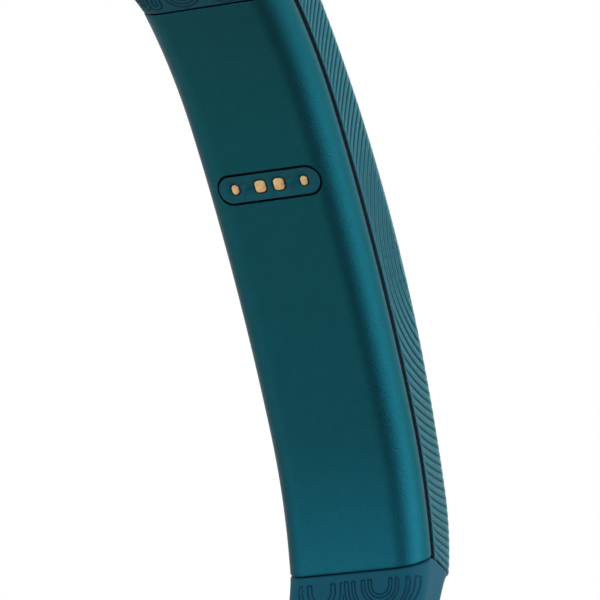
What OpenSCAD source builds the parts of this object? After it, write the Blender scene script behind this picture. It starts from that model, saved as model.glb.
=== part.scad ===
// Activity tracker band standing on its side edge, straps open.
// Origin: middle of the module's lower side edge. X runs along the module,
// Y points to the wrist, Z runs across the band's width. Millimetres.

/* [Module] */
// Width of the module across the band
band_w = 11.5; // [11.2:0.1:12]
// Height of the skin side above the origin at the module's middle
skin_y = 4.0; // [3.9:0.05:4.1]
// Height of the outer face below the origin at the module's middle
outer_y = 4.05; // [3.95:0.05:4.2]
// Wall thickness of the skin-side shell
shell_wall = 0.8; // [0.7:0.05:0.9]
// Radius of the shell's long edges
shell_edge = 2.14; // [1.9:0.02:2.2]
// Depth at which the shell ends and the seam starts
seam_top = 2.45; // [2.35:0.05:2.5]
// Depth at which the outer cover starts
seam_low = 2.9; // [2.8:0.05:3]

/* [Charging inlay] */
// Distance of the inlay from the module's middle
inlay_x = 7.54; // [6.5:0.02:8]
// Half of the pocket's length across the band
pocket_half = 4.3; // [4.2:0.05:4.4]
// Half of the pocket's width along the band
pocket_r = 1.18; // [1.15:0.01:1.25]
// Distance of the small contacts from the middle of the inlay
contact_far = 2.85; // [2.8:0.01:2.9]
// Distance of the large contacts from the middle of the inlay
contact_near = 0.77; // [0.75:0.01:0.8]

/* [Straps] */
// Thickness of a strap
strap_t = 2.9; // [2.8:0.05:3]
// Width of a strap
strap_w = 10.0; // [9.9:0.05:10.1]
// Length of the long strap
long_len = 105; // [104:0.5:108]
// Length of the short strap up to its hook
short_len = 62; // [60:0.5:64]

/* [Clasp] */
// Middle of the slider, measured along the long strap
slider_s = 66; // [64:0.5:68]
// Length of the slider along the strap
slider_len = 10; // [9:0.5:11]

/* [Hidden] */
$fa = 4;
$fs = 0.25;
mid_z = band_w / 2;
$in = 0;
// skin line: flat arc in the middle, tighter arcs at both ends
r_mid = 127;
r_end = 32;
a_mid = 12 / r_mid * 180 / PI;
c_mid = [0, skin_y + r_mid];
c_end = [(r_mid - r_end) * sin(a_mid), skin_y + r_mid - (r_mid - r_end) * cos(a_mid)];
x_end = 22.2;
a_end = asin((x_end - c_end[0]) / r_end);
y_end = c_end[1] - r_end * cos(a_end);
// outer face: its own arcs, with a tight one at each tip that turns up to the strap
q_mid = 75;
q_end = 90;
q_tip = 15;
b_mid = asin(12.7 / q_mid);
k_mid = [0, q_mid - outer_y];
k_end = [(q_mid - q_end) * sin(b_mid), q_mid - outer_y - (q_mid - q_end) * cos(b_mid)];
b_tip = asin((19.4 - k_end[0]) / q_end);
k_tip = [k_end[0] + (q_end - q_tip) * sin(b_tip), k_end[1] - (q_end - q_tip) * cos(b_tip)];
// strap lines: a tight arc next to the module, then a wide one
long_ra = 24;
long_la = 24;
long_rb = 90;
short_ra = 22;
short_la = 24;
short_rb = 60;
flex_1 = 8.5;
flex_2 = 24;
flex_r = strap_t / 2;
flex_gap = 0.17;
gap_end = 0.15;
// overlap of neighbouring arcs, in degrees
lap = 0.05;
strap_z0 = mid_z - strap_w / 2;
strap_z1 = mid_z + strap_w / 2;

function bearing(a) = [sin(a), -cos(a)];
function strap_angle(s, ra, la, rb) =
    a_end + (s <= la ? s / ra : la / ra + (s - la) / rb) * 180 / PI;
function strap_ca(ra) = [x_end, y_end] - ra * bearing(a_end);
function strap_cb(ra, la, rb) = strap_ca(ra) + (ra - rb) * bearing(strap_angle(la, ra, la, rb));
function strap_point(s, ra, la, rb) = s <= la
    ? strap_ca(ra) + ra * bearing(strap_angle(s, ra, la, rb))
    : strap_cb(ra, la, rb) + rb * bearing(strap_angle(s, ra, la, rb));
long_cb = strap_cb(long_ra, long_la, long_rb);
short_cb = strap_cb(short_ra, short_la, short_rb);
function smooth(v) = v <= 0 ? 0 : v >= 1 ? 1 : v * v * (3 - 2 * v);

// ---- helpers -------------------------------------------------------------

module rounded(x0, x1, y0, y1, r) {
    slab(x0 + r, y0, x1 - x0 - 2 * r, y1 - y0);
    slab(x0, y0 + r, x1 - x0, y1 - y0 - 2 * r);
    for (p = [[x0 + r, y0 + r], [x1 - r, y0 + r], [x0 + r, y1 - r], [x1 - r, y1 - r]])
        translate(p) circle(r - $in);
}

module slab(x, y, w, h) {
    translate([x + $in, y + $in]) square([w - 2 * $in, h - 2 * $in]);
}

// sweeps a profile of (depth, z) round the centre c between two slopes
module arc_sweep(c, r, t0, t1) {
    translate([c[0], c[1], 0])
        rotate([0, 0, t0 - 90])
            rotate_extrude(angle = t1 - t0)
                translate([r, 0]) children();
}

// sweeps a profile of (depth, z) along the module's skin line; the end arcs are
// a hair smaller all round ($in), so that they overlap the middle one without
// sharing a surface with it
module along_skin() {
    let ($in = 0)
        arc_sweep(c_mid, r_mid, -a_mid - lap, a_mid + lap) children();
    for (m = [0, 1])
        let ($in = 0.006)
            mirror([m, 0, 0])
                arc_sweep(c_end, r_end, a_mid - 2 * lap, a_end + 12) children();
}

// the same for one end only
module end_skin() {
    arc_sweep(c_end, r_end, a_mid + 4, a_end + 12) children();
}

// solid bounded by the outer face, drawn inset by d, with rounded outer edges
module envelope(d) {
    let ($in = 0)
        arc_sweep(k_mid, q_mid, -b_mid - lap, b_mid + lap) envelope_profile(d);
    for (m = [0, 1])
        mirror([m, 0, 0]) {
            let ($in = 0.006)
                arc_sweep(k_end, q_end, b_mid - 2 * lap, b_tip + lap) envelope_profile(d);
            let ($in = 0.012)
                arc_sweep(k_tip, q_tip, b_tip - 4 * lap, 66) envelope_profile(d, 11.2 + d / 8);
        }
}

module envelope_profile(d, deep = 9) {
    rounded(-deep, -d, d, band_w - d, 1.6 - d / 2);
}

// side view of the module: the shell's ends lean a little, the cover's ends lean
// by 45 degrees and reach further out
module plan(xh) {
    x1 = xh + 0.29;
    y1 = y_end - 2.6;
    half = [[xh, 20], [xh, y_end], [x1, y1], [x1 + 6, y1 - 6], [x1 + 6, -14]];
    translate([0, 0, -3])
        linear_extrude(band_w + 6)
            polygon(concat(half, [for (i = [len(half) - 1:-1:0]) [-half[i][0], half[i][1]]]));
}

// local frame on the flat arc: x along the skin, y out of the skin, z up
module at_skin(u) {
    translate([c_mid[0], c_mid[1], 0])
        rotate([0, 0, u / r_mid * 180 / PI])
            translate([0, -r_mid, 0]) children();
}

// local frame on a strap, x forward along it, y towards the wrist
module at_strap(s, ra, la, rb) {
    p = strap_point(s, ra, la, rb);
    translate([p[0], p[1], 0])
        rotate([0, 0, strap_angle(s, ra, la, rb)]) children();
}

module at_long(s) {
    at_strap(s, long_ra, long_la, long_rb) children();
}

module at_short(s) {
    mirror([1, 0, 0]) at_strap(s, short_ra, short_la, short_rb) children();
}

module cross_pin(s_depth, r, z0, z1) {
    translate([s_depth[0], -s_depth[1], z0]) cylinder(r = r, h = z1 - z0);
}

// rounded slot shape that lies in the skin, drawn through a depth range
module skin_slot(half, r, d0, d1) {
    translate([0, -d0, mid_z])
        rotate([90, 0, 0])
            linear_extrude(d1 - d0) {
                translate([-r, -(half - r)]) square([2 * r, 2 * (half - r)]);
                for (m = [-1, 1])
                    translate([0, m * (half - r)]) circle(r);
            }
}

module contact_pad(z, hx, hz, r, d0, d1) {
    translate([0, -d0, mid_z + z])
        rotate([90, 0, 0])
            linear_extrude(d1 - d0) rounded(-hx, hx, -hz, hz, r);
}

// ---- module ----------------------------------------------------------------

module shell_profile() {
    rounded_side($in, seam_top - $in, $in, band_w - $in, shell_edge - $in);
}

module shell_cavity() {
    rounded_side(shell_wall - $in, 6, shell_wall - $in, band_w - shell_wall + $in,
        shell_edge - shell_wall + $in);
}

// rectangle with only its low-depth corners rounded
module rounded_side(x0, x1, y0, y1, r) {
    translate([x0, y0 + r]) square([x1 - x0, y1 - y0 - 2 * r]);
    translate([x0 + r, y0]) square([x1 - x0 - r, y1 - y0]);
    for (y = [y0 + r, y1 - r])
        intersection() {
            translate([x0 + r, y]) circle(r);
            translate([x0 - 1, y0 - 1]) square([x1 - x0 + 1, y1 - y0 + 2]);
        }
}

module inner_shell() {
    color("#155a66")
        difference() {
            intersection() {
                along_skin()
                    difference() {
                        shell_profile();
                        shell_cavity();
                    }
                plan(x_end);
            }
            at_skin(inlay_x) skin_slot(pocket_half, pocket_r, -1, 2);
        }
}

module outer_cover() {
    color("#2c6f80")
        difference() {
            intersection() {
                envelope(0);
                plan(x_end);
            }
            envelope(0.8);
            along_skin()
                slab(-14, -2, 14 + seam_low, band_w + 4);
            for (x = [-4, 0, 4])
                translate([x, 2, mid_z])
                    rotate([90, 0, 0]) cylinder(r = 0.6, h = 10);
        }
}

module seam_gasket() {
    color("#101416")
        intersection() {
            along_skin() {
                slab(seam_top, 0.06, seam_low - seam_top, 0.72);
                slab(seam_top, band_w - 0.78, seam_low - seam_top, 0.72);
            }
            plan(x_end - 0.1);
        }
}

module chassis() {
    color("#3a3d40")
        difference() {
            union() {
                intersection() {
                    along_skin() {
                        slab(3.6, 0.95, 0.45, band_w - 1.9);
                        slab(2.8, 0.95, 1.6, 0.5);
                        slab(2.8, band_w - 1.45, 1.6, 0.5);
                    }
                    translate([-20.6, -10, 0]) cube([41.2, 30, 20]);
                }
                for (m = [0, 1], z = [0.95, band_w - 2.55])
                    mirror([m, 0, 0])
                        translate([18.6, 1.1, z]) cube([2, 2.4, 1.6]);
            }
            translate([13.3, -5, 1.5]) cube([4.6, 12, band_w - 3]);
            for (m = [0, 1])
                mirror([m, 0, 0]) {
                    translate([18.4, -1, 2.55]) cube([3, 8, band_w - 5.1]);
                    translate([19.7, 2.2, -1]) cylinder(r = 0.5, h = 14);
                }
            for (p = [[-11, 2.4], [9.8, 2.4], [9.8, 9.1]])
                at_skin(p[0]) screw_bore(p[1]);
        }
}

module screw_bore(z) {
    translate([0, -3, z]) rotate([90, 0, 0]) cylinder(r = 0.46, h = 4);
}

module board_screws() {
    color("#a8adb2")
        for (p = [[-11, 2.4], [9.8, 2.4], [9.8, 9.1]])
            at_skin(p[0]) {
                translate([0, -3.62, p[1]]) rotate([90, 0, 0]) cylinder(r = 0.45, h = 1.3);
                translate([0, -4.72, p[1]]) rotate([90, 0, 0]) cylinder(r = 0.8, h = 0.4);
            }
}

module battery() {
    color("#8d9298")
        intersection() {
            along_skin() rounded(1.0, 3.45, 1.5, band_w - 1.5, 0.5);
            translate([-18.3, -10, 0]) cube([22.3, 30, 20]);
        }
}

module main_board() {
    color("#1d5c34")
        difference() {
            intersection() {
                along_skin() slab(4.12, 1.6, 0.5, band_w - 3.2);
                translate([-17.8, -10, 0]) cube([28.9, 30, 20]);
            }
            for (p = [[-11, 2.4], [9.8, 2.4], [9.8, 9.1]])
                at_skin(p[0]) screw_bore(p[1]);
        }
}

module chip(u, z, lx, lz, h) {
    at_skin(u)
        translate([-lx / 2, -4.64 - h, z - lz / 2]) cube([lx, h, lz]);
}

module processor_chip() {
    color("#202224") chip(-2.5, mid_z, 4.6, 4.6, 0.85);
}

module radio_chip() {
    color("#2a2c30") chip(-7.8, 7.4, 3, 3, 0.7);
}

module motion_chip() {
    color("#303236") chip(3.2, 7.2, 2.5, 2.5, 0.75);
}

module power_chip() {
    color("#26282c") chip(6.6, 4.6, 2.4, 2.4, 0.65);
}

module led_board() {
    color("#ded9c8")
        translate([-5.5, -2.55, 3.2]) cube([11, 0.25, 5.1]);
}

module light_guide() {
    color("#e8eef0") {
        translate([-5.2, -3.05, 4.6]) cube([10.4, 0.45, 2.3]);
        for (x = [-4, 0, 4])
            translate([x, -3.0, mid_z])
                rotate([90, 0, 0]) cylinder(r = 0.58, h = 0.85);
    }
}

module antenna() {
    color("#b87333")
        intersection() {
            along_skin() slab(5.35, 2.2, 0.2, band_w - 4.4);
            translate([-16.5, -10, 0]) cube([8, 30, 20]);
        }
}

module motor_can() {
    color("#b9bdc2")
        translate([15.6, 1.35, 0])
            difference() {
                union() {
                    translate([0, 0, 1.7]) cylinder(r = 1.85, h = 5);
                    translate([0, 0, 6.7]) cylinder(r = 0.7, h = 0.35);
                }
                translate([0, 0, 4.5]) cylinder(r = 0.32, h = 4);
            }
}

module motor_rotor() {
    color("#75797e")
        translate([15.6, 1.35, 0]) {
            translate([0, 0, 4.8]) cylinder(r = 0.25, h = 4.9);
            translate([0, 0, 7.35])
                difference() {
                    cylinder(r = 1.6, h = 2.2);
                    translate([-3, 0.3, -1]) cube([6, 3, 5]);
                }
        }
}

module charge_inlay() {
    color("#155a66")
        at_skin(inlay_x)
            difference() {
                skin_slot(pocket_half - 0.17, pocket_r - 0.17, 0.02, 1.3);
                for (m = [-1, 1]) {
                    contact_pad(m * contact_far, 0.52, 0.4, 0.35, -1, 2);
                    contact_pad(m * contact_near, 0.64, 0.6, 0.3, -1, 2);
                    translate([0, 0, mid_z + m * 1.87])
                        rotate([90, 0, 0]) translate([0, 0, -1]) cylinder(r = 0.26, h = 1.2);
                }
            }
}

module inlay_gasket() {
    color("#0c0f11")
        at_skin(inlay_x)
            difference() {
                skin_slot(pocket_half, pocket_r, 0.22, 0.8);
                skin_slot(pocket_half - 0.17, pocket_r - 0.17, -1, 2);
            }
}

module contact_1() {
    color("#d8ad4a")
        at_skin(inlay_x) contact_pad(-contact_far, 0.42, 0.31, 0.28, 0.12, 1.7);
}

module contact_2() {
    color("#d8ad4a")
        at_skin(inlay_x) contact_pad(-contact_near, 0.51, 0.47, 0.26, 0.1, 1.7);
}

module contact_3() {
    color("#d8ad4a")
        at_skin(inlay_x) contact_pad(contact_near, 0.51, 0.47, 0.26, 0.1, 1.7);
}

module contact_4() {
    color("#d8ad4a")
        at_skin(inlay_x) contact_pad(contact_far, 0.42, 0.31, 0.28, 0.12, 1.7);
}

module contact_flex() {
    color("#c98a2e")
        at_skin(inlay_x) {
            translate([-1.5, -1.9, 2]) cube([4.7, 0.2, band_w - 4]);
            translate([3.0, -3.48, 3.4]) cube([0.2, 1.7, 4.7]);
        }
}

module charge_magnets() {
    color("#9aa0a6")
        at_skin(inlay_x)
            for (m = [-1, 1])
                translate([m * 2.3 - 0.6, -1.65, 3]) cube([1.2, 0.8, band_w - 6]);
}

// ---- strap ends --------------------------------------------------------------

// the room that the anchor's tang has inside the rubber
module tang_room(ra) {
    arc_sweep(strap_ca(ra), ra, a_end - 5, a_end + 6.1 / ra * 180 / PI)
        translate([0.9, 2.67]) square([1.2, band_w - 5.34]);
}

module end_block(ra) {
    difference() {
        union() {
            intersection() {
                end_skin() rounded(0.85, 9.9, 0.85, band_w - 0.85, 1.3);
                arc_sweep(k_tip, q_tip, b_tip + 2, 78) envelope_profile(0.85, 11.2);
                translate([20.7, -10, 0]) cube([1.5, 30, 20]);
            }
            translate([18.7, 1.2, 2.75]) cube([2.1, 2.2, band_w - 5.5]);
            intersection() {
                arc_sweep(strap_ca(ra), ra, a_end - 5, a_end + 6 / ra * 180 / PI)
                    translate([1.0, 2.75]) square([1.0, band_w - 5.5]);
                translate([21.5, 0, 0]) cube([12, 20, 20]);
            }
        }
        translate([19.7, 2.2, -1]) cylinder(r = 0.5, h = 14);
    }
}

module long_anchor() {
    color("#2b2f33") end_block(long_ra);
}

module short_anchor() {
    color("#2b2f33") mirror([1, 0, 0]) end_block(short_ra);
}

module anchor_pins() {
    color("#c4c8cc")
        for (m = [0, 1])
            mirror([m, 0, 0])
                translate([19.7, 2.2, 1.05]) cylinder(r = 0.49, h = band_w - 2.1);
}

// cross-section of a strap end as it swells from strap to module; the first ring
// follows the module's end, which leans one way down to the seam and then the other
function root_t(s) = strap_t + 3.9 * pow(max(0, 1 - s / 6.7), 1.8);
function root_w(s) = band_w - (band_w - strap_w) * smooth((s - 0.8) / 7);
function root_ri(s) = shell_edge + (0.9 - shell_edge) * smooth(s / 3.6);
function root_ro(s) = 1.6 + (0.9 - 1.6) * smooth(s / 6);
function root_lead(d) = d < 2.61 ? -0.295 * d : -0.77 + 0.334 * (d - 2.61);
function root_fade(s) = 1 - smooth((s - gap_end) / 3);
function root_spot(s, d, z, ra) =
    let (q = s + root_lead(d) * root_fade(s))
    let (p = strap_point(q, ra, 30, 90), o = bearing(strap_angle(q, ra, 30, 90)))
    [p[0] + d * o[0], p[1] + d * o[1], mid_z + z];
function root_corner(k, s, ra, t, w, ri, ro) = [
    for (i = [0:4])
        let (a = 180 - 90 * k - 22.5 * i)
        let (r = (k == 0 || k == 3) ? ri : ro)
        let (dc = (k == 0 || k == 3) ? ri : t - ro)
        let (zc = (k == 0 || k == 1) ? w / 2 - r : r - w / 2)
        root_spot(s, dc + r * cos(a), zc + r * sin(a), ra)
];
function root_ring(s, ra, t, w, ri, ro) =
    let (side = min(2.61, (ri + t - ro) / 2))
    concat(
        root_corner(0, s, ra, t, w, ri, ro), [root_spot(s, side, w / 2, ra)],
        root_corner(1, s, ra, t, w, ri, ro), root_corner(2, s, ra, t, w, ri, ro),
        [root_spot(s, side, -w / 2, ra)], root_corner(3, s, ra, t, w, ri, ro));

module strap_root(ra) {
    steps = [gap_end, 0.5, 0.9, 1.4, 2, 2.7, 3.5, 4.4, 5.4, 6.4, 7.4, flex_1];
    n = 22;
    last = len(steps) - 1;
    pts = [
        for (s = steps)
            each root_ring(s, ra, root_t(s + 0.38 * root_fade(s)), root_w(s), root_ri(s), root_ro(s))
    ];
    sides = [
        for (j = [0:last - 1], i = [0:n - 1])
            let (a = j * n + i, b = j * n + (i + 1) % n)
            each [[a, a + n, b], [b, a + n, b + n]]
    ];
    first_face = [for (j = [0:9]) each [[j, j + 1, 20 - j], [j, 20 - j, 21 - j]]];
    difference() {
        union() {
            polyhedron(pts, concat(first_face, sides, [[for (i = [n - 1:-1:0]) last * n + i]]));
            at_strap(flex_1, ra, 30, 90)
                cross_pin([0, flex_r], flex_r - 0.01, strap_z0 + 0.9, strap_z1 - 0.9);
        }
        tang_room(ra);
    }
}

module strap_profile() {
    rounded(0, strap_t, strap_z0, strap_z1, 0.9);
}

module long_strap_root() {
    color("#23606f") strap_root(long_ra);
}

module short_strap_root() {
    color("#23606f") mirror([1, 0, 0]) strap_root(short_ra);
}

// strap between two lengths that lie on the same arc
module strap_run(s0, s1, ra, la, rb) {
    c = s0 < la ? strap_ca(ra) : strap_cb(ra, la, rb);
    arc_sweep(c, s0 < la ? ra : rb, strap_angle(s0, ra, la, rb), strap_angle(s1, ra, la, rb))
        strap_profile();
}

// a rigid length of strap: hollow end where it turns, round end that carries on
module strap_link(s0, s1, ra, la, rb, nose) {
    difference() {
        union() {
            strap_run(s0, s1, ra, la, rb);
            if (nose)
                at_strap(s1, ra, la, rb)
                    cross_pin([0, flex_r], flex_r - 0.01, strap_z0 + 0.9, strap_z1 - 0.9);
        }
        at_strap(s0, ra, la, rb) cross_pin([0, flex_r], flex_r + flex_gap, -2, 14);
    }
}

module long_strap_a() {
    color("#286878") strap_link(flex_1, flex_2, long_ra, long_la, long_rb, true);
}

module long_strap_b() {
    color("#2c6f80")
        difference() {
            strap_link(flex_2, long_len - 1, long_ra, long_la, long_rb, false);
            at_long(long_len - 2) rivet(mid_z, 0.6, -3, 3);
        }
}

module short_strap_a() {
    color("#286878")
        mirror([1, 0, 0]) strap_link(flex_1, flex_2, short_ra, short_la, short_rb, true);
}

module short_strap_b() {
    color("#2c6f80")
        difference() {
            mirror([1, 0, 0]) strap_link(flex_2, short_len, short_ra, short_la, short_rb, false);
            for (z = [3.2, band_w - 3.2])
                at_short(short_len - 3) rivet(z, 0.6, -3, 3);
        }
}

// ---- clasp ---------------------------------------------------------------------

module rivet(z, r, d0, d1) {
    translate([0, strap_t / -2 + d1, z]) rotate([90, 0, 0]) cylinder(r = r, h = d1 - d0);
}

pin_s = slider_s - slider_len / 2 + 1.5;
pin_depth = 4.45;

module slider_frame() {
    half = slider_len / 2;
    s0 = strap_angle(slider_s - half, long_ra, long_la, long_rb);
    s1 = strap_angle(slider_s + half, long_ra, long_la, long_rb);
    s2 = strap_angle(slider_s + half + 2.2, long_ra, long_la, long_rb);
    color("#9fa6aa")
        difference() {
            union() {
                arc_sweep(long_cb, long_rb, s0, s1) rounded(-0.75, 3.8, 0, band_w, 0.7);
                arc_sweep(long_cb, long_rb, s1 - 0.5, s2) {
                    translate([2.0, 0]) square([2.6, 0.62]);
                    translate([2.0, band_w - 0.62]) square([2.6, 0.62]);
                }
                at_long(slider_s + half + 2.0)
                    cross_pin([0, 4.3], 0.5, 0, band_w);
                at_long(pin_s)
                    for (z = [0, band_w - 1.05])
                        translate([0, 0, z]) {
                            translate([-1.1, -pin_depth, 0]) cube([2.2, 1.6, 1.05]);
                            translate([0, -pin_depth, 0]) cylinder(r = 1.1, h = 1.05);
                        }
            }
            arc_sweep(long_cb, long_rb, s0 - 2, s1 + 0.1)
                translate([-0.14, strap_z0 - 0.14]) square([strap_t + 0.28, strap_w + 0.28]);
            at_long(pin_s) {
                translate([-1.35, -4.4, 1.05]) cube([3.4, 2, band_w - 2.1]);
                translate([0, -pin_depth, -1]) cylinder(r = 0.46, h = band_w + 2);
            }
        }
}

module slider_lever() {
    color("#b4babd")
        at_long(pin_s)
            translate([0, -pin_depth, 0])
                difference() {
                    union() {
                        translate([0, 0, 1.25]) cylinder(r = 0.95, h = band_w - 2.5);
                        translate([0, -0.7, 1.25]) cube([8.2, 0.75, band_w - 2.5]);
                        translate([8.2, -0.325, 1.25]) cylinder(r = 0.375, h = band_w - 2.5);
                    }
                    translate([0, 0, -1]) cylinder(r = 0.5, h = band_w + 2);
                }
}

module lever_pin() {
    color("#c9cdd0")
        at_long(pin_s)
            translate([0, -pin_depth, 0.05]) cylinder(r = 0.45, h = band_w - 0.1);
}

module hook_plate() {
    s0 = strap_angle(short_len - 6, short_ra, short_la, short_rb);
    s1 = strap_angle(short_len + 0.7, short_ra, short_la, short_rb);
    s2 = strap_angle(short_len + 5.5, short_ra, short_la, short_rb);
    color("#9fa6aa")
        difference() {
            mirror([1, 0, 0]) {
                arc_sweep(short_cb, short_rb, s0, s1) rounded(-0.7, strap_t + 0.7, 0, band_w, 0.7);
                arc_sweep(short_cb, short_rb, s1 - 0.3, s2)
                    translate([1.4, 2.2]) square([0.8, band_w - 4.4]);
                arc_sweep(short_cb, short_rb, s2 - 0.75, s2)
                    translate([2.0, 2.2]) square([1.5, band_w - 4.4]);
            }
            mirror([1, 0, 0])
                arc_sweep(short_cb, short_rb, s0 - 2, strap_angle(short_len, short_ra, short_la, short_rb))
                    translate([0, strap_z0]) square([strap_t, strap_w]);
            for (z = [3.2, band_w - 3.2])
                at_short(short_len - 3) rivet(z, 0.6, -4, 4);
        }
}

module hook_rivets() {
    color("#cfd3d6")
        for (z = [3.2, band_w - 3.2])
            at_short(short_len - 3) rivet(z, 0.6, -2.1, 2.1);
}

module tail_stop() {
    s0 = strap_angle(long_len - 3, long_ra, long_la, long_rb);
    s1 = strap_angle(long_len, long_ra, long_la, long_rb);
    color("#9fa6aa")
        difference() {
            arc_sweep(long_cb, long_rb, s0, s1) rounded(-0.6, strap_t + 0.6, 0, band_w, 0.7);
            arc_sweep(long_cb, long_rb, s0 - 2, strap_angle(long_len - 1, long_ra, long_la, long_rb))
                translate([0, strap_z0]) square([strap_t, strap_w]);
            at_long(long_len - 2) rivet(mid_z, 0.6, -4, 4);
        }
}

module tail_rivet() {
    color("#cfd3d6") at_long(long_len - 2) rivet(mid_z, 0.6, -2.0, 2.0);
}

// ---- parts -----------------------------------------------------------------------

inner_shell();
outer_cover();
seam_gasket();
chassis();
board_screws();
battery();
main_board();
processor_chip();
radio_chip();
motion_chip();
power_chip();
led_board();
light_guide();
antenna();
motor_can();
motor_rotor();
charge_inlay();
inlay_gasket();
contact_1();
contact_2();
contact_3();
contact_4();
contact_flex();
charge_magnets();
long_anchor();
short_anchor();
anchor_pins();
long_strap_root();
long_strap_a();
long_strap_b();
short_strap_root();
short_strap_a();
short_strap_b();
slider_frame();
slider_lever();
lever_pin();
hook_plate();
hook_rivets();
tail_stop();
tail_rivet();
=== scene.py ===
import math

import bmesh
import bpy
import numpy as np
from mathutils import Matrix, Vector


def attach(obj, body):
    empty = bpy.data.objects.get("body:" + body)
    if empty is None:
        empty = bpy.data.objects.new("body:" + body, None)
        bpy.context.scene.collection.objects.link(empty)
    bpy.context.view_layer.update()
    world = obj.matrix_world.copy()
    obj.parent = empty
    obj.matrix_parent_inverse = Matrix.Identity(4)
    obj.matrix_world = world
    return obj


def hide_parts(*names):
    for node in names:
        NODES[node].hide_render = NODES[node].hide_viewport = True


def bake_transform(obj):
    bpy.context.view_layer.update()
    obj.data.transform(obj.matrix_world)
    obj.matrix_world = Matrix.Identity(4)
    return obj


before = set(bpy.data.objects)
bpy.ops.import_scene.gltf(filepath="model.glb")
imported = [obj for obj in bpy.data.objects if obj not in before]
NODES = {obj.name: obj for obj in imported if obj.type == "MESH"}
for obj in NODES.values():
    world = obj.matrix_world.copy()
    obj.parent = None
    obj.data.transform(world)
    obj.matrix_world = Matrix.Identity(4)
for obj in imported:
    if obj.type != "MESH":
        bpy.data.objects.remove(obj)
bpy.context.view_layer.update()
MM = 0.001

# ---- camera ------------------------------------------------------------------

# lens, direction and place come from a fit to the module's edges in the photograph
cam_data = bpy.data.cameras.new("camera")
cam_data.sensor_width = 36.0
cam_data.lens = 299.6
cam_data.clip_start = 0.01
cam_data.clip_end = 20.0
camera = bpy.data.objects.new("camera", cam_data)
bpy.context.scene.collection.objects.link(camera)
cam_right = Vector((-0.2406, -0.3819, 0.8924))
cam_back = Vector((0.2512, 0.8635, 0.4372)).normalized()
cam_right = (cam_right - cam_right.dot(cam_back) * cam_back).normalized()
cam_up = cam_back.cross(cam_right)
cam_matrix = Matrix((cam_right, cam_up, cam_back)).transposed().to_4x4()
cam_matrix.translation = Vector((0.09192, 0.32536, 0.16848))
camera.matrix_world = cam_matrix
bpy.context.scene.camera = camera
bpy.context.scene.view_settings.view_transform = "Standard"
bpy.context.scene.view_settings.look = "None"
bpy.context.scene.view_settings.exposure = 0.0
bpy.context.scene.view_settings.gamma = 1.0

# ---- the curves of the module and the straps, as in the CAD, in millimetres ----------

BAND_W = 11.5
MID_Z = BAND_W / 2
STRAP_T = 2.9
STRAP_W = 10.0
STRAP_EDGE = 0.9
WALL = 0.8
X_END = 22.2
# skin line: a flat arc as far as SKIN_FLAT each way, then a tighter one
SKIN_Y, SKIN_FLAT = 4.0, 12
R_MID, R_END = 127.0, 32.0
A_MID = SKIN_FLAT / R_MID
MID_HEIGHT = R_MID + SKIN_Y
C_MID = np.array([0.0, MID_HEIGHT])
C_END = np.array([(R_MID - R_END) * math.sin(A_MID), MID_HEIGHT - (R_MID - R_END) * math.cos(A_MID)])
A_END = math.asin((X_END - C_END[0]) / R_END)
Y_END = C_END[1] - R_END * math.cos(A_END)
# outer face: three arcs that meet at OUTER_X
OUTER_Y, OUTER_X = 4.05, (12.7, 19.4)
Q_MID, Q_END, Q_TIP = 75.0, 90.0, 15.0
B_MID = math.asin(OUTER_X[0] / Q_MID)
OUTER_HEIGHT = Q_MID - OUTER_Y
K_MID = np.array([0.0, OUTER_HEIGHT])
K_END = np.array([(Q_MID - Q_END) * math.sin(B_MID), OUTER_HEIGHT - (Q_MID - Q_END) * math.cos(B_MID)])
B_TIP = math.asin((OUTER_X[1] - K_END[0]) / Q_END)
K_TIP = K_END + (Q_END - Q_TIP) * np.array([math.sin(B_TIP), -math.cos(B_TIP)])
SHELL_EDGE, COVER_EDGE = 2.14, 1.6
# the shell stops 0.08 short of the CAD's seal at 2.45, so that the seam line looks wide enough
SEAM_TOP, SEAM_LOW = 2.37, 2.9
INLAY_U = 7.54
LONG = dict(ra=24.0, la=24.0, rb=90.0, sign=1)
SHORT = dict(ra=22.0, la=24.0, rb=60.0, sign=-1)


def bearing(a):
    return np.array([math.sin(a), -math.cos(a)])


def smooth(v):
    v = np.clip(v, 0.0, 1.0)
    return v * v * (3 - 2 * v)


END_LEAN, LEAN_DROP = 0.1115, 2.6


def end_line(y):
    """Half length of the module at height y: the shell's end leans a little, the cover's by 45 degrees."""
    drop = Y_END - y
    return X_END + END_LEAN * np.clip(drop, 0, LEAN_DROP) + np.maximum(drop - LEAN_DROP, 0)


def skin_at(u, depth):
    """Point at arc length u along the skin line and depth under it."""
    s = math.copysign(1, u)
    u = abs(u)
    if u <= SKIN_FLAT:
        p = C_MID + (R_MID + depth) * bearing(u / R_MID)
    else:
        p = C_END + (R_END + depth) * bearing(A_MID + (u - SKIN_FLAT) / R_END)
    return np.array([s * p[0], p[1]])


def skin_y(x, depth):
    """Height of the line at that depth under the skin, for a given x."""
    x = np.abs(x)
    y_mid = C_MID[1] - np.sqrt((R_MID + depth) ** 2 - x**2)
    y_end = C_END[1] - np.sqrt(np.maximum((R_END + depth) ** 2 - (x - C_END[0]) ** 2, 0))
    return np.where(x <= (R_MID + depth) * math.sin(A_MID), y_mid, y_end)


def outer_y(x, inset):
    """Height of the outer face drawn inset, for a given x."""
    x = np.abs(x)
    y_mid = K_MID[1] - np.sqrt((Q_MID - inset) ** 2 - x**2)
    y_end = K_END[1] - np.sqrt((Q_END - inset) ** 2 - (x - K_END[0]) ** 2)
    y_tip = K_TIP[1] - np.sqrt(np.maximum((Q_TIP - inset) ** 2 - (x - K_TIP[0]) ** 2, 0.01))
    y = np.where(x <= (Q_MID - inset) * math.sin(B_MID), y_mid, y_end)
    return np.where(x <= K_END[0] + (Q_END - inset) * math.sin(B_TIP), y, y_tip)


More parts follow.
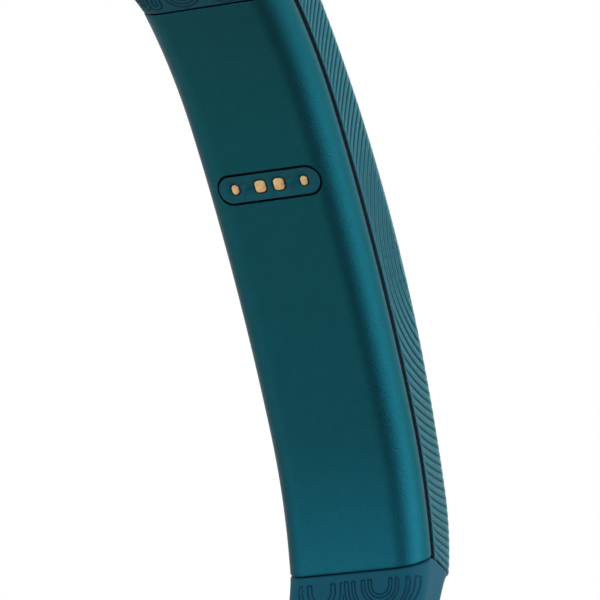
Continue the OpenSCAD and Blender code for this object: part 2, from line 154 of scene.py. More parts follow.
def strap_frame(s, run):
    """Point on a strap's skin line and its slope."""
    ra, la, rb = run["ra"], run["la"], run["rb"]
    ca = np.array([X_END, Y_END]) - ra * bearing(A_END)
    a_la = A_END + la / ra
    if s <= la:
        a = A_END + s / ra
        p = ca + ra * bearing(a)
    else:
        a = a_la + (s - la) / rb
        cb = ca + (ra - rb) * bearing(a_la)
        p = cb + rb * bearing(a)
    return p, a


def strap_spot(s, depth, z, run):
    p, a = strap_frame(s, run)
    q = p + depth * bearing(a)
    return (run["sign"] * q[0] * MM, q[1] * MM, z * MM)


# ---- mesh helpers ----------------------------------------------------------------

def new_object(name, verts, faces, smooth_angle=math.radians(32)):
    mesh = bpy.data.meshes.new(name)
    points = [tuple(float(c) for c in v) for v in verts]
    mesh.from_pydata(points, [], [tuple(int(i) for i in f) for f in faces])
    mesh.validate()
    bm = bmesh.new()
    bm.from_mesh(mesh)
    bmesh.ops.recalc_face_normals(bm, faces=bm.faces)
    bm.to_mesh(mesh)
    bm.free()
    mesh.shade_smooth()
    if smooth_angle is not None:
        mesh.set_sharp_from_angle(angle=smooth_angle)
    mesh.update()
    obj = bpy.data.objects.new(name, mesh)
    bpy.context.scene.collection.objects.link(obj)
    return obj


def tube(name, rings, **kw):
    """Closed skin over rings of points, with an n-gon on each end."""
    rings = np.asarray(rings)
    n, m = rings.shape[:2]
    faces = [
        (i * m + j, i * m + (j + 1) % m, (i + 1) * m + (j + 1) % m, (i + 1) * m + j)
        for i in range(n - 1)
        for j in range(m)
    ]
    faces.append(tuple(range(m))[::-1])
    faces.append(tuple((n - 1) * m + j for j in range(m)))
    return new_object(name, rings.reshape(-1, 3) * MM, faces, **kw)


def plate(name, outer, inner, iu, iv, **kw):
    """Closed sheet: a fine outer grid, and a coarse inner grid that only has the rows iu and columns iv."""
    nu, nv = outer.shape[:2]
    verts = list(outer.reshape(-1, 3) * MM)
    base = len(verts)
    verts += list(inner[np.ix_(iu, iv)].reshape(-1, 3) * MM)
    mu, mv = len(iu), len(iv)

    def a(i, j):
        return i * nv + j

    def b(i, j):
        return base + i * mv + j

    faces = [
        (a(i, j), a(i, j + 1), a(i + 1, j + 1), a(i + 1, j))
        for i in range(nu - 1)
        for j in range(nv - 1)
    ]
    faces += [
        (b(i, j), b(i + 1, j), b(i + 1, j + 1), b(i, j + 1))
        for i in range(mu - 1)
        for j in range(mv - 1)
    ]
    for jo, ji in ((0, 0), (nv - 1, mv - 1)):
        for k in range(mu - 1):
            chain = [a(i, jo) for i in range(iu[k], iu[k + 1] + 1)] + [b(k + 1, ji), b(k, ji)]
            faces.append(tuple(chain))
    for io, ii in ((0, 0), (nu - 1, mu - 1)):
        for k in range(mv - 1):
            chain = [a(io, j) for j in range(iv[k], iv[k + 1] + 1)] + [b(ii, k + 1), b(ii, k)]
            faces.append(tuple(chain))
    return new_object(name, verts, faces, **kw)


def store_painted_shade(obj, values):
    """Stores how deep in a groove each of the first points lies; the material paints these grooves, and
    gaps and recesses marked the same way, with shade.
    """
    layer = obj.data.attributes.new("groove_and_shade", "FLOAT", "POINT")
    data = np.zeros(len(obj.data.vertices), dtype=np.float32)
    data[: len(values)] = values
    layer.data.foreach_set("value", data)


def thin_out(n, step):
    ids = list(range(0, n - 1, step))
    return ids + [n - 1]


# ---- material helpers ----------------------------------------------------------------

class Mat:
    """A Principled material built node by node."""

    def __init__(self, name, **inputs):
        self.mat = bpy.data.materials.new(name)
        self.mat.use_nodes = True
        self.nt = self.mat.node_tree
        self.bsdf = self.nt.nodes["Principled BSDF"]
        for key, value in inputs.items():
            self.bsdf.inputs[key.replace("_", " ")].default_value = value
        self.coord = self.nt.nodes.new("ShaderNodeTexCoord")

    def node(self, kind, **props):
        n = self.nt.nodes.new(kind)
        for k, v in props.items():
            setattr(n, k, v)
        return n

    def link(self, a, b):
        self.nt.links.new(a, b)

    def noise(self, scale, detail=3.0, rough=0.55, stretch=None):
        n = self.node("ShaderNodeTexNoise")
        n.inputs["Scale"].default_value = scale
        n.inputs["Detail"].default_value = detail
        n.inputs["Roughness"].default_value = rough
        if stretch:
            m = self.node("ShaderNodeMapping")
            m.inputs["Scale"].default_value = stretch
            self.link(self.coord.outputs["Object"], m.inputs["Vector"])
            self.link(m.outputs["Vector"], n.inputs["Vector"])
        else:
            self.link(self.coord.outputs["Object"], n.inputs["Vector"])
        return n.outputs["Fac"]

    def ramp(self, source, stops):
        n = self.node("ShaderNodeValToRGB")
        els = n.color_ramp.elements
        els[0].position, els[0].color = stops[0][0], (*stops[0][1], 1)
        els[1].position, els[1].color = stops[-1][0], (*stops[-1][1], 1)
        for p, c in stops[1:-1]:
            e = els.new(p)
            e.color = (*c, 1)
        self.link(source, n.inputs["Fac"])
        return n.outputs["Color"]

    def span(self, source, lo, hi, from_lo=0.3, from_hi=0.7):
        n = self.node("ShaderNodeMapRange")
        n.inputs["From Min"].default_value = from_lo
        n.inputs["From Max"].default_value = from_hi
        n.inputs["To Min"].default_value = lo
        n.inputs["To Max"].default_value = hi
        self.link(source, n.inputs["Value"])
        return n.outputs["Result"]

    def bump(self, source, strength, distance):
        n = self.node("ShaderNodeBump")
        n.inputs["Strength"].default_value = strength
        n.inputs["Distance"].default_value = distance
        self.link(source, n.inputs["Height"])
        if self.bsdf.inputs["Normal"].is_linked:
            self.link(self.bsdf.inputs["Normal"].links[0].from_socket, n.inputs["Normal"])
        self.link(n.outputs["Normal"], self.bsdf.inputs["Normal"])

    def with_painted_shade(self, source, dark):
        """The colour, going over to a painted shade colour in the mesh's own marked grooves, gaps and
        recesses.
        """
        if dark is None:
            return source
        attribute = self.node("ShaderNodeAttribute", attribute_name="groove_and_shade")
        mix = self.node("ShaderNodeMix", data_type="RGBA")
        self.link(attribute.outputs["Fac"], mix.inputs[0])
        self.link(source, mix.inputs[6])
        mix.inputs[7].default_value = (*dark, 1)
        return mix.outputs[2]

    def to(self, source, name):
        self.link(source, self.bsdf.inputs[name])


def tint(c, k):
    return tuple(v * k for v in c)


def clouded(m, cloud, color, spread, groove_and_shade):
    """Base colour that drifts by the given share round one colour, with painted shade in the marked
    grooves.
    """
    stops = [(0.3, tint(color, 1 - spread)), (0.7, tint(color, 1 + spread))]
    m.to(m.with_painted_shade(m.ramp(cloud, stops), groove_and_shade), "Base Color")


def blasted_metal(name, color, rough, grain, metallic=1.0, groove_and_shade=None, edge=(1, 1, 1),
                  uneven=0.04, patch=900.0):
    m = Mat(name, Metallic=metallic, Roughness=rough)
    m.bsdf.inputs["Specular Tint"].default_value = (*edge, 1)
    clouded(m, m.noise(patch, 5.0, 0.7), color, uneven, groove_and_shade)
    speck = m.noise(9200.0, 3.0, 0.75)
    m.to(m.span(speck, rough - 0.05, rough + 0.05), "Roughness")
    m.bump(speck, grain, 0.00004)
    return m.mat


def matt_rubber(name, color, groove_and_shade, rough=0.62):
    m = Mat(name, Roughness=rough)
    m.bsdf.inputs["Specular IOR Level"].default_value = 0.13
    clouded(m, m.noise(350.0, 4.0), color, 0.05, groove_and_shade)
    fine = m.noise(7000.0, 3.0, 0.65)
    m.to(m.span(fine, rough - 0.06, rough + 0.08), "Roughness")
    m.bump(fine, 0.3, 0.00003)
    return m.mat


def brushed(name, color, rough, stretch=(1, 1, 14)):
    m = Mat(name, Metallic=1.0, Roughness=rough)
    line = m.noise(2400.0, 3.0, 0.7, stretch)
    m.to(m.ramp(line, [(0.3, tint(color, 0.86)), (0.7, tint(color, 1.08))]), "Base Color")
    m.to(m.span(line, rough - 0.07, rough + 0.09), "Roughness")
    m.bump(line, 0.15, 0.00001)
    return m.mat


def moulded(name, color, rough, grain=4000.0, bump=0.15, spec=0.5, groove_and_shade=None):
    m = Mat(name, Roughness=rough)
    m.bsdf.inputs["Specular IOR Level"].default_value = spec
    clouded(m, m.noise(500.0, 3.0), color, 0.1, groove_and_shade)
    fine = m.noise(grain, 2.0)
    m.to(m.span(fine, rough - 0.05, rough + 0.05), "Roughness")
    m.bump(fine, bump, 0.00002)
    return m.mat


def printed_board(name):
    m = Mat(name, Roughness=0.4)
    brick = m.node("ShaderNodeTexBrick")
    brick.inputs["Scale"].default_value = 900.0
    brick.inputs["Mortar Size"].default_value = 0.03
    brick.inputs["Color1"].default_value = (0.012, 0.13, 0.055, 1)
    brick.inputs["Color2"].default_value = (0.018, 0.16, 0.07, 1)
    brick.inputs["Mortar"].default_value = (0.09, 0.28, 0.12, 1)
    m.link(m.coord.outputs["Object"], brick.inputs["Vector"])
    m.to(brick.outputs["Color"], "Base Color")
    m.bump(brick.outputs["Fac"], 0.3, 0.00003)
    return m.mat


TEAL = (0.0093, 0.108, 0.128)
MATS = {
    "shell": blasted_metal("shell_metal", TEAL, 0.31, 1.0, edge=(0.62, 0.68, 0.72)),
    # the cover's last colour is painted shade for its ridges' grooves and a painted shadow along its seam
    "cover": blasted_metal("cover_metal", (0.0115, 0.11, 0.137), 0.36, 1.0,
                           groove_and_shade=(0.0025, 0.022, 0.032), edge=(0.74, 0.9, 0.92)),
    "gasket": moulded("black_gasket", (0.001, 0.002, 0.003), 0.7, spec=0.05),
    "nylon": moulded("black_nylon", (0.02, 0.023, 0.027), 0.5),
    "steel": brushed("steel", (0.55, 0.57, 0.59), 0.28),
    "dark_steel": brushed("dark_steel", (0.25, 0.26, 0.28), 0.4),
    "foil": brushed("battery_foil", (0.45, 0.48, 0.52), 0.32, (14, 1, 1)),
    "board": printed_board("circuit_board"),
    "chip": moulded("chip_black", (0.014, 0.015, 0.018), 0.45),
    "white": moulded("white_board", (0.7, 0.69, 0.63), 0.5),
    "clear": moulded("clear_plastic", (0.75, 0.8, 0.82), 0.12),
    "copper": brushed("copper", (0.65, 0.33, 0.14), 0.3, (14, 1, 1)),
    # the inlay's last colour is painted shade round its contacts and studs and on its walls
    "inlay": moulded("inlay_plastic", (0.003, 0.096, 0.11), 0.4, 6000.0, 0.3, 0.12, (0.001, 0.015, 0.02)),
    "gold": blasted_metal("gold", (0.93, 0.64, 0.265), 0.42, 0.6, 0.55, uneven=0.22, patch=2600.0),
    # the rubber's last colour is painted shade in its moulded lines and on its first lip
    "rubber": matt_rubber("strap_rubber", (0.0055, 0.098, 0.128), groove_and_shade=(0.0015, 0.022, 0.04)),
    "clasp": brushed("clasp_metal", (0.02, 0.13, 0.165), 0.33),
}
NODE_MATS = {
    "inner_shell": "shell", "outer_cover": "cover", "seam_gasket": "gasket", "chassis": "nylon",
    "board_screws": "steel", "battery": "foil", "main_board": "board", "processor_chip": "chip",
    "radio_chip": "chip", "motion_chip": "chip", "power_chip": "chip", "led_board": "white",
    "light_guide": "clear", "antenna": "copper", "motor_can": "steel", "motor_rotor": "dark_steel",
    "charge_inlay": "inlay", "inlay_gasket": "gasket", "contact_1": "gold", "contact_2": "gold",
    "contact_3": "gold", "contact_4": "gold", "contact_flex": "copper", "charge_magnets": "dark_steel",
    "long_anchor": "nylon", "short_anchor": "nylon", "anchor_pins": "steel", "slider_frame": "clasp",
    "slider_lever": "clasp", "lever_pin": "steel", "hook_plate": "clasp", "hook_rivets": "steel",
    "tail_stop": "clasp", "tail_rivet": "steel", "long_strap_root": "rubber", "long_strap_a": "rubber",
    "long_strap_b": "rubber", "short_strap_root": "rubber", "short_strap_a": "rubber",
    "short_strap_b": "rubber",
}
for node_name, key in NODE_MATS.items():
    node = NODES[node_name]
    node.data.materials.clear()
    node.data.materials.append(MATS[key])


def dress(obj, key, body, *replaced):
    obj.data.materials.clear()
    obj.data.materials.append(MATS[key])
    if body:
        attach(obj, body)
    if replaced:
        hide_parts(*replaced)


# ---- inner shell: smooth satin housing on the wrist side --------------------------------

def shell_profile(inset, n_edge=14, n_face=26, n_side=3):
    """(depth, z) round the shell's section, from the lower seam over the face to the upper seam."""
    r = SHELL_EDGE - inset
    top, lo, hi = inset, inset, BAND_W - inset
    turns = np.linspace(0, math.pi / 2, n_edge)
    pts = [(d, lo) for d in np.linspace(SEAM_TOP, top + r, n_side, endpoint=False)]
    pts += [(top + r - r * math.sin(a), lo + r - r * math.cos(a)) for a in turns]
    pts += [(top, z) for z in np.linspace(lo + r, hi - r, n_face)[1:-1]]
    pts += [(top + r - r * math.cos(a), hi - r + r * math.sin(a)) for a in turns]
    pts += [(d, hi) for d in np.linspace(top + r, SEAM_TOP, n_side + 1)[1:]]
    return pts


def skin_sweep(profile, xi):
    """Sweeps (depth, z) points along the skin line up to the leaning ends. xi runs from -1 to 1."""
    grid = np.zeros((len(xi), len(profile), 3))
    for j, (d, z) in enumerate(profile):
        ae = A_END
        for _ in range(8):
            xe = float(end_line(C_END[1] - (R_END + d) * math.cos(ae)))
            ae = math.asin((xe - C_END[0]) / (R_END + d))
        ue = SKIN_FLAT + R_END * (ae - A_MID)
        for i, t in enumerate(xi):
            p = skin_at(t * ue, d)
            grid[i, j] = (p[0], p[1], z)
    return grid


def end_soft(n, fillet_steps):
    """Even stations from -1 to 1 with extra ones close to each end."""
    inner = list(np.linspace(-1, 1, n))[1:-1]
    ends = [1 - e for e in fillet_steps]
    return np.array([-e for e in ends] + [v for v in inner if abs(v) < min(ends) - 0.004] + ends[::-1])


steps = (0.0, 0.0012, 0.0035, 0.0075)
xi = end_soft(190, steps)
prof_out = shell_profile(0.0)
outer = skin_sweep(prof_out, xi)
# small rounding on the two end edges and along both seams
for row, drop in ((0, 0.08), (1, 0.03), (2, 0.008), (-1, 0.08), (-2, 0.03), (-3, 0.008)):
    for j, (d, z) in enumerate(prof_out):
        xs = outer[row, j, 0]
        inward = np.array([C_END[0] * math.copysign(1, xs) - xs, C_END[1] - outer[row, j, 1]])
        side = min(max((SHELL_EDGE - d) / SHELL_EDGE, 0.0), 1.0)
        inward = -inward / np.linalg.norm(inward) * drop * math.sqrt(side)
        outer[row, j, 0] += inward[0]
        outer[row, j, 1] += inward[1]
        outer[row, j, 2] += math.copysign(drop * (1 - side * 0.9), MID_Z - z) if d > 0.05 else 0
prof_in = shell_profile(WALL)
inner = skin_sweep(prof_in, xi)
shell = plate("inner_housing", outer, inner, thin_out(len(xi), 8), thin_out(len(prof_out), 4))

# the pocket for the charging contacts is cut right through, with a fine broken edge
POCKET_HALF, POCKET_R = 4.3, 1.18
a_inlay = INLAY_U / R_MID


def skin_spot(x, depth, z):
    """Point in the flat frame of the charging pocket, in metres."""
    out = bearing(a_inlay)
    along = np.array([math.cos(a_inlay), math.sin(a_inlay)])
    p = C_MID + (R_MID + depth) * out + x * along
    return (p[0], p[1], MID_Z + z)


def stadium(half, r, n=24):
    pts = [(r * math.cos(a), half - r + r * math.sin(a)) for a in np.linspace(0, math.pi, n)]
    pts += [(r * math.cos(a), r - half + r * math.sin(a)) for a in np.linspace(math.pi, 2 * math.pi, n)]
    return pts


cut_rings = []
for depth, grow in ((-1.0, 0.16), (-0.03, 0.09), (0.03, 0.035), (0.12, 0.0), (2.0, 0.0)):
    outline = stadium(POCKET_HALF + grow, POCKET_R + grow)
    cut_rings.append([skin_spot(x, depth, z) for x, z in outline])
cutter = tube("pocket_cutter", cut_rings, smooth_angle=None)
boolean = shell.modifiers.new("pocket", "BOOLEAN")
boolean.operation = "DIFFERENCE"
boolean.solver = "EXACT"
boolean.object = cutter
bpy.context.view_layer.update()
cut_mesh = bpy.data.meshes.new_from_object(shell.evaluated_get(bpy.context.evaluated_depsgraph_get()))
shell.modifiers.clear()
shell.data = cut_mesh
bpy.data.objects.remove(cutter)
cut_mesh.shade_smooth()
cut_mesh.set_sharp_from_angle(angle=math.radians(28))
dress(shell, "shell", "module", "inner_shell")

# ---- charging inlay: a plate with two low studs and domed gold contacts ----------------------

PLATE_HALF, PLATE_R, PLATE_TOP, PLATE_BOTTOM = 4.17, 1.05, 0.03, 1.28
# each contact: place across the band, half width, half length, corner radius
SMALL_PAD, LARGE_PAD = (0.27, 0.37, 0.26), (0.42, 0.46, 0.27)
CONTACTS = [(-2.85, *SMALL_PAD), (-0.77, *LARGE_PAD), (0.77, *LARGE_PAD), (2.85, *SMALL_PAD)]
STUDS = (-2.02, 1.72)


def pad_distance(x, z, zc, hz, hx, r):
    """Signed distance from the outline of a rounded pad."""
    qz, qx = abs(z - zc) - (hz - r), abs(x) - (hx - r)
    return math.hypot(max(qz, 0), max(qx, 0)) + min(max(qz, qx), 0) - r


def plate_depth(x, z):
    depth = PLATE_TOP
    for zc in STUDS:
        away = math.hypot(x, z - zc)
        depth += 0.12 * float(smooth(1 - away / 0.6)) - 0.24 * float(smooth(1 - away / 0.4))
    for pad in CONTACTS:
        away = pad_distance(x, z, *pad)
        depth += 0.10 * float(smooth(1 - (away - 0.02) / 0.13)) + 0.1 * float(smooth(1 - away / 0.55))
    return depth


rim = stadium(PLATE_HALF, PLATE_R, 44)
spine = []
for x, z in rim:
    spine.append((0.0, min(max(z, PLATE_R - PLATE_HALF), PLATE_HALF - PLATE_R)))
straight = []
for i in range(len(rim)):
    straight.append((rim[i], spine[i]))
    (x0, z0), (x1, z1) = rim[i], rim[(i + 1) % len(rim)]
    if abs(z1 - z0) > 1:
        for f in np.linspace(0, 1, 92)[1:-1]:
            z = z0 + f * (z1 - z0)
            straight.append(((x0 + f * (x1 - x0), z), (0.0, z)))
rings = []
marks = []
# the plate's walls inside the pocket are marked in full with painted shade
for depth in (PLATE_BOTTOM, 0.12, 0.07):
    rings.append([skin_spot(x, depth, z) for (x, z), _ in straight])
    marks.append([1.0] * len(straight))
for f in np.linspace(0.03, 0.985, 34):
    ring, mark = [], []
    for (x0, z0), (x1, z1) in straight:
        x, z = x0 + f * (x1 - x0), z0 + f * (z1 - z0)
        d = plate_depth(x, z)
        ring.append(skin_spot(x, d, z))
        # painted shade: a dark line round each contact's outline and a dark ring round each stud
        lines = [abs(pad_distance(x, z, *pad) - 0.03) / 0.11 for pad in CONTACTS]
        lines += [0.5 + abs(math.hypot(x, z - zc) - 0.46) / 0.2 for zc in STUDS]
        mark.append(float(smooth(1 - min(lines))))
    rings.append(ring)
    marks.append(mark)
inlay = tube("contact_plate", rings, smooth_angle=math.radians(50))
store_painted_shade(inlay, [m for row in marks for m in row])
dress(inlay, "inlay", "module", "charge_inlay")

# a contact's side and low dome, as (how far in from its outline, depth)
PAD_RINGS = (
    (0.0, 1.65), (0.0, 0.15), (0.0, 0.085), (0.02, 0.06),
    (0.05, 0.045), (0.1, 0.035), (0.16, 0.028), (0.21, 0.025),
)
for i, (zc, hz, hx, r) in enumerate(CONTACTS):
    rings = []
    for shrink, depth in PAD_RINGS:
        ring = []
        for a in np.linspace(0, 2 * math.pi, 64, endpoint=False):
            corner = (math.copysign(hz - r, math.cos(a)), math.copysign(hx - r, math.sin(a)))
            reach = r - shrink
            x = corner[1] + reach * math.sin(a)
            z = zc + corner[0] + reach * math.cos(a)
            ring.append(skin_spot(x, depth, z))
        rings.append(ring)
    pad = tube(f"contact_pad_{i + 1}", rings, smooth_angle=math.radians(70))
    dress(pad, "gold", "module", f"contact_{i + 1}")

# ---- outer cover with its ripple of fine ridges ----------------------------------------------

# spacings of the ridges, from the ones seen on the cover's side strip
RIPPLE_U, RIPPLE_W = -2.0, 1.15
RIPPLE_PITCH = 0.672
LIGHTS_X = (-4.0, 0.0, 4.0)
LIGHT_R, LIGHT_DEPTH = 0.65, 0.3
FAR_STRETCH = 0.0015
FAR_PITCH, FAR_GROWTH, FAR_COUNT = 0.42, 0.0261, 29.82


def ridge_count(away, reach):
    """Number of ridges between the middle of the ripple and a point, along the cover and across it."""
    side = smooth((away + 4) / 8)
    near = np.hypot(away, reach) / RIPPLE_PITCH
    far = np.hypot(away * np.sqrt(1 + FAR_STRETCH * away**2), reach)
    far = np.log(FAR_PITCH + FAR_GROWTH * far) / FAR_GROWTH + FAR_COUNT
    return far * (1 - side) + near * side


def cover_columns(n_side=38, n_edge=14, n_face=64, inset=0.0):
    """Round the cover's section: height as a function of x, z, and distance from the face's middle line."""
    r = COVER_EDGE - inset
    lo, hi = inset, BAND_W - inset
    half = (hi - lo) / 2 - r
    cols = []

    def side(f, sign):
        def height(x):
            return skin_y(x, SEAM_LOW) * (1 - f) + outer_y(x, COVER_EDGE) * f

        def wrapped(x):
            return sign * (half + r * math.pi / 2 + height(x) - outer_y(x, COVER_EDGE))

        return height, (hi if sign > 0 else lo), wrapped

    def edge(a, sign):
        inset_here = COVER_EDGE - r * math.cos(a)
        z = MID_Z + sign * (half + r * math.sin(a))
        return (lambda x: outer_y(x, inset_here)), z, (lambda x: sign * (half + r * a) + 0 * x)

    def face(z):
        return (lambda x: outer_y(x, inset)), z, (lambda x: z - MID_Z + 0 * x)

    fs = np.linspace(0, 1, n_side, endpoint=False)
    angles = np.linspace(0, math.pi / 2, n_edge)
    cols += [side(f, -1) for f in fs]
    cols += [edge(a, -1) for a in angles[::-1]]
    cols += [face(z) for z in np.linspace(lo + r, hi - r, n_face)[1:-1]]
    cols += [edge(a, 1) for a in angles]
    cols += [side(f, 1) for f in fs[::-1]]
    return cols


def cover_grid(t, **kw):
    cols = cover_columns(**kw)
    grid = np.zeros((len(t), len(cols), 3))
    wrap = np.zeros((len(t), len(cols)))
    for j, (height, z, wrapped) in enumerate(cols):
        lo, hi = 20.0, 27.5
        for _ in range(30):
            mid = (lo + hi) / 2
            if mid < float(end_line(height(np.array(mid)))):
                lo = mid
            else:
                hi = mid
        x = t * lo
        grid[:, j, 0] = x
        grid[:, j, 1] = height(x)
        grid[:, j, 2] = z
        wrap[:, j] = wrapped(x)
    return grid, wrap


t_cover = end_soft(560, (0.0, 0.0013, 0.0033, 0.006))
cover_outer, wrap = cover_grid(t_cover)
nu, nv = cover_outer.shape[:2]
du = np.gradient(cover_outer, axis=0)
dv = np.gradient(cover_outer, axis=1)
normal = np.cross(du, dv)
normal /= np.linalg.norm(normal, axis=2, keepdims=True)
if normal[nu // 2, nv // 2, 1] > 0:
    normal = -normal
middle = cover_outer[:, nv // 2, :2]
arc = np.concatenate([[0.0], np.cumsum(np.hypot(*np.diff(middle, axis=0).T))])
away = (arc - np.interp(0.0, middle[:, 0], arc) - RIPPLE_U)[:, None] + 0 * wrap
wrapped = np.abs(wrap)
count = ridge_count(away, wrapped + RIPPLE_W * smooth(wrapped / 4))
phase = np.abs(count % 1.0 - 0.5) * 2
groove_and_shade = smooth((phase - 0.6) / 0.38)
# near the middle, where the ridges run lengthwise, finer and fainter ones lie between them
fine = 1 - smooth((np.abs(away - 4) - 4) / 5)
fine_phase = np.abs(2 * count % 1.0 - 0.5) * 2
groove_and_shade = np.maximum(groove_and_shade * (1 - 0.35 * fine), 0.6 * fine * smooth((fine_phase - 0.5) / 0.5))
carve = 0.006 * phase**2 + 0.07 * groove_and_shade
from_seam = np.abs(cover_outer[..., 1] - skin_y(cover_outer[..., 0], SEAM_LOW))
from_side = np.abs(np.abs(cover_outer[..., 2] - MID_Z) - MID_Z)
seam_gap = np.minimum(from_seam + from_side, 5)
fade = 0.3 + 0.7 * smooth(seam_gap / 0.9)
# three round recesses show the ends of the light guide's posts, which stand inside the cover's wall
light_hole = np.zeros_like(carve)
for x0 in LIGHTS_X:
    near = np.hypot(cover_outer[..., 0] - x0, cover_outer[..., 2] - MID_Z)
    on_face = cover_outer[..., 1] < 0
    fade *= np.where(on_face, smooth((near - 0.5) / 0.5), 1.0)
    light_hole = np.maximum(light_hole, np.where(on_face, smooth((LIGHT_R - near) / 0.1), 0.0))
carve = np.maximum(carve * fade, LIGHT_DEPTH * light_hole)
# painted shade: the grooves stay marked, and a strip along the seam is marked in full as a painted shadow
groove_and_shade = np.maximum(groove_and_shade * fade, smooth(1.3 - seam_gap / 0.22))
cover_outer = cover_outer - normal * carve[..., None]
for row, drop in ((0, 0.09), (1, 0.035), (2, 0.01), (-1, 0.09), (-2, 0.035), (-3, 0.01)):
    cover_outer[row] -= normal[row] * drop
for col, drop in ((0, 0.07), (1, 0.015), (-1, 0.07), (-2, 0.015)):
    cover_outer[:, col] -= normal[:, col] * drop
cover_inner, _ = cover_grid(t_cover, inset=WALL)
cover = plate("outer_housing", cover_outer, cover_inner, thin_out(nu, 16), thin_out(nv, 6),
              smooth_angle=math.radians(60))
store_painted_shade(cover, groove_and_shade.ravel())
dress(cover, "cover", "module", "outer_cover")

# ---- straps -------------------------------------------------------------------------------

def section(t, w, ri, ro, n_in, n_corner, n_side, n_out):
    """(depth, z offset, inner-face flag) round a strap, starting on the wrist face at -z."""
    pts = []
    for z in np.linspace(-w / 2 + ri, w / 2 - ri, n_in):
        pts.append((0.0, z, 1.0))
    for a in np.linspace(0, math.pi / 2, n_corner + 1)[1:]:
        pts.append((ri - ri * math.cos(a), w / 2 - ri + ri * math.sin(a), 0.0))
    for d in np.linspace(ri, t - ro, n_side + 1)[1:]:
        pts.append((d, w / 2, 0.0))
    for a in np.linspace(0, math.pi / 2, n_corner + 1)[1:]:
        pts.append((t - ro + ro * math.sin(a), w / 2 - ro + ro * math.cos(a), 0.0))
    for z in np.linspace(w / 2 - ro, -w / 2 + ro, n_out + 1)[1:]:
        pts.append((t, z, 0.0))
    for a in np.linspace(0, math.pi / 2, n_corner + 1)[1:]:
        pts.append((t - ro + ro * math.cos(a), -w / 2 + ro - ro * math.sin(a), 0.0))
    for d in np.linspace(t - ro, ri, n_side + 1)[1:]:
        pts.append((d, -w / 2, 0.0))
    for a in np.linspace(0, math.pi / 2, n_corner + 1)[1:-1]:
        pts.append((ri - ri * math.sin(a), -w / 2 + ri - ri * math.cos(a), 0.0))
    return pts


def root_t(s):
    return STRAP_T + 3.9 * max(0.0, 1 - s / 6.7) ** 1.8


def root_w(s):
    return BAND_W - (BAND_W - STRAP_W) * float(smooth((s - 0.8) / 7))


def root_lead(d):
    """How far the strap's first edge runs ahead of its station at depth d, to follow the module's end."""
    return np.where(d < 2.61, -0.295 * d, -0.77 + 0.334 * (d - 2.61))


def root_fade(s):
    return 1 - float(smooth((s - 0.15) / 3))


def arches(s, z, motifs, turn):
    """Depth, from 0 to 1, of the moulded lines: nested overlapping arches, closed away from turn."""
    depth = 0.0
    for s0, z0, arm, bands in motifs:
        ahead = turn * (s - s0)
        if ahead < -arm - 0.1:
            continue
        rho = math.hypot(max(ahead, 0.0), z - z0)
        for r0, r1 in bands:
            if ahead > -arm:
                line = min(abs(rho - r0), abs(rho - r1))
            else:
                line = 9.0
            if r0 < rho < r1:
                line = min(line, abs(ahead + arm))
            depth = max(depth, float(smooth(1 - line / 0.085)))
        if rho < bands[-1][1] + 0.12:
            break
    return depth


CORNER = 26
CUP_OUTER = ((0.8, 1.15), (1.6, 1.9))
RING = ((0.15, 0.48),)
NEST = ((0.75, 1.05), (1.45, 1.75), (2.2, 2.5))
# each motif: place along the strap, place across it, straight length of its arms, bands as (from, to)
LONG_ARCHES = [
    (1.9, -1.2, 1.6, ((0.5, 0.85), (1.2, 1.5))),
    (1.0, -3.55, 1.2, RING),
    (1.0, -4.5, 1.2, RING),
    (2.2, 2.3, 1.6, CUP_OUTER),
]
SHORT_ARCHES = [
    (1.15, 2.5, 0.45, ((0.72, 0.98), (1.28, 1.55), (2.1, 2.35), (2.65, 2.95))),
    (1.3, -2.4, 0.55, CUP_OUTER),
    (1.7, -4.9, 0.5, CUP_OUTER),
]
for row in range(3):
    for z0 in (-5.0, -0.3, 4.4) if row % 2 == 0 else (-2.7, 2.4):
        SHORT_ARCHES.append((4.4 + 2.9 * row, z0, 0.6, NEST))
        LONG_ARCHES.append((5.2 + 2.9 * row, z0, 0.6, NEST))


def strap_root_mesh(name, run, s_last, motifs):
    # closest together where the moulded lines are
    stations = [0.15] + list(np.arange(0.2, 7.0, 0.062))
    stations += list(np.arange(7.0, 13.0, 0.09)) + list(np.linspace(13.0, s_last, 9))
    rings = []
    marks = []
    for s in stations:
        fade = root_fade(s)
        t, w = root_t(s + 0.38 * fade), root_w(s)
        ri = SHELL_EDGE + (STRAP_EDGE - SHELL_EDGE) * float(smooth(s / 3.6))
        ro = COVER_EDGE + (STRAP_EDGE - COVER_EDGE) * float(smooth(s / 6))
        close = 0.07 * max(0.0, 1 - (s - 0.15) / 0.16) ** 2
        ring = []
        if not rings:
            # a lip inside the first edge closes the gap to the module
            lip = []
            for d, z, _ in section(t - 0.7, w - 0.7, ri, ro, 130, CORNER, 22, 26):
                p, a = strap_frame(0.02 + float(root_lead(d + 0.35)) * fade, run)
                q = p + (d + 0.35) * bearing(a)
                lip.append((run["sign"] * q[0], q[1], MID_Z + z))
            rings.append(lip)
            # the lip is marked in full with painted shade
            marks.append([1.0] * len(lip))
        mark = []
        for d, z, flag in section(t, w, ri, ro, 130, CORNER, 22, 26):
            lead = float(root_lead(d)) * fade
            cut = arches(s + lead, z, motifs, -run["sign"]) if flag or d < 0.6 * ri else 0.0
            d += 0.07 * cut
            # the moulded lines are marked with painted shade as deep as they are cut
            mark.append(cut)
            p, a = strap_frame(s + lead, run)
            # the first edge is rounded a little
            d = d + (close if d < t / 2 else -close) if (d < ri or d > t - ro) else d
            z = z - math.copysign(close, z) if abs(z) > w / 2 - 0.4 else z
            q = p + d * bearing(a)
            ring.append((run["sign"] * q[0], q[1], MID_Z + z))
        rings.append(ring)
        marks.append(mark)
    base = tube(name, rings, smooth_angle=math.radians(50))
    store_painted_shade(base, [m for row in marks for m in row])
    return base


